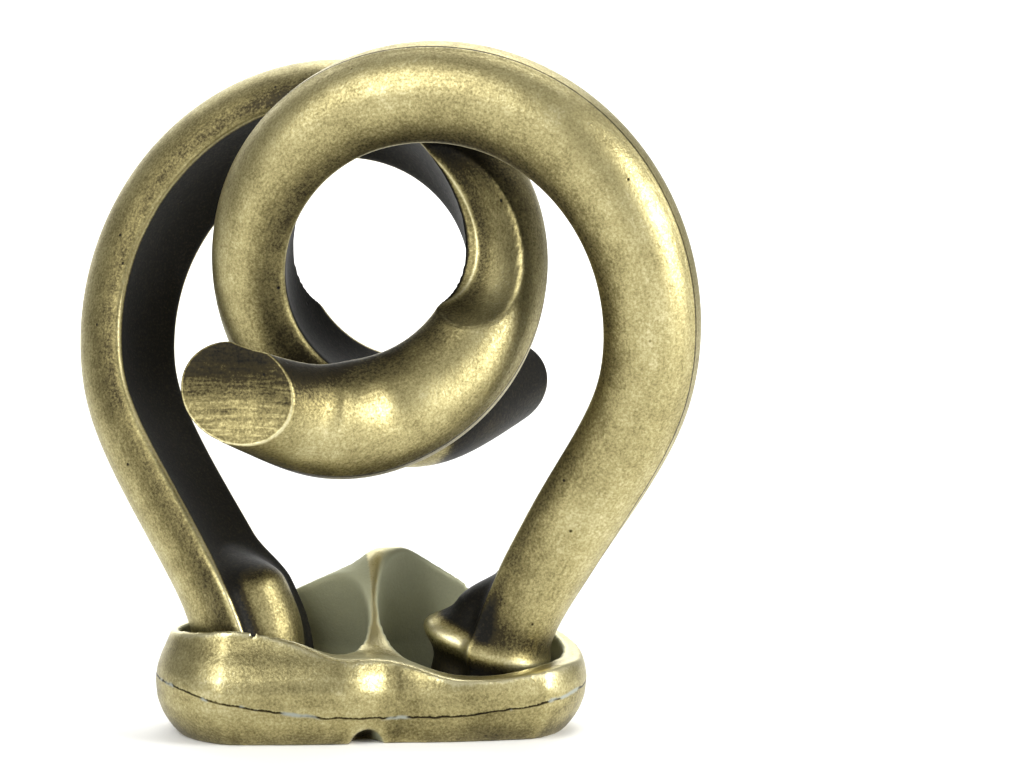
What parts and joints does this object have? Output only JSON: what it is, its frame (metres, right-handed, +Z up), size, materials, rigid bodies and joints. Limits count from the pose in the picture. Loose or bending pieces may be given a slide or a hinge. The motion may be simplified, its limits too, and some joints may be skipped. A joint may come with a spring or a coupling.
{
  "type": "metal disentanglement puzzle",
  "caption": "Desk puzzle of interlocked cast metal hooks whose feet stand in a twin-ring base, with an antique brass finish.",
  "frame": {"origin": "on the table, midway between the base's two sockets", "axes": "+X from the left socket to the right socket, +Z up, -Y towards the base's low front rim"},
  "size_m": [0.047, 0.029, 0.0538],
  "materials": {
    "antique_brass": "antique brass plate over a zinc casting, satin, worn bright on the ridges and dark in the hollows",
    "antique_brass_base": "antique brass plate over a zinc casting, tumbled, with dull green-grey inner walls"
  },
  "bodies": {
    "base": {"twin_ring_base": "antique_brass_base"},
    "left_hook": {"left_hook": "antique_brass"},
    "right_hook": {"right_hook": "antique_brass"}
  },
  "joints": [
    {"name": "left_hook_lift", "type": "slide", "parent": "base", "child": "left_hook", "axis": [0, 0, 1], "range_m": [0, 0.003]},
    {"name": "right_hook_lift", "type": "slide", "parent": "base", "child": "right_hook", "axis": [0, 0, 1], "range_m": [0, 0.003]}
  ]
}
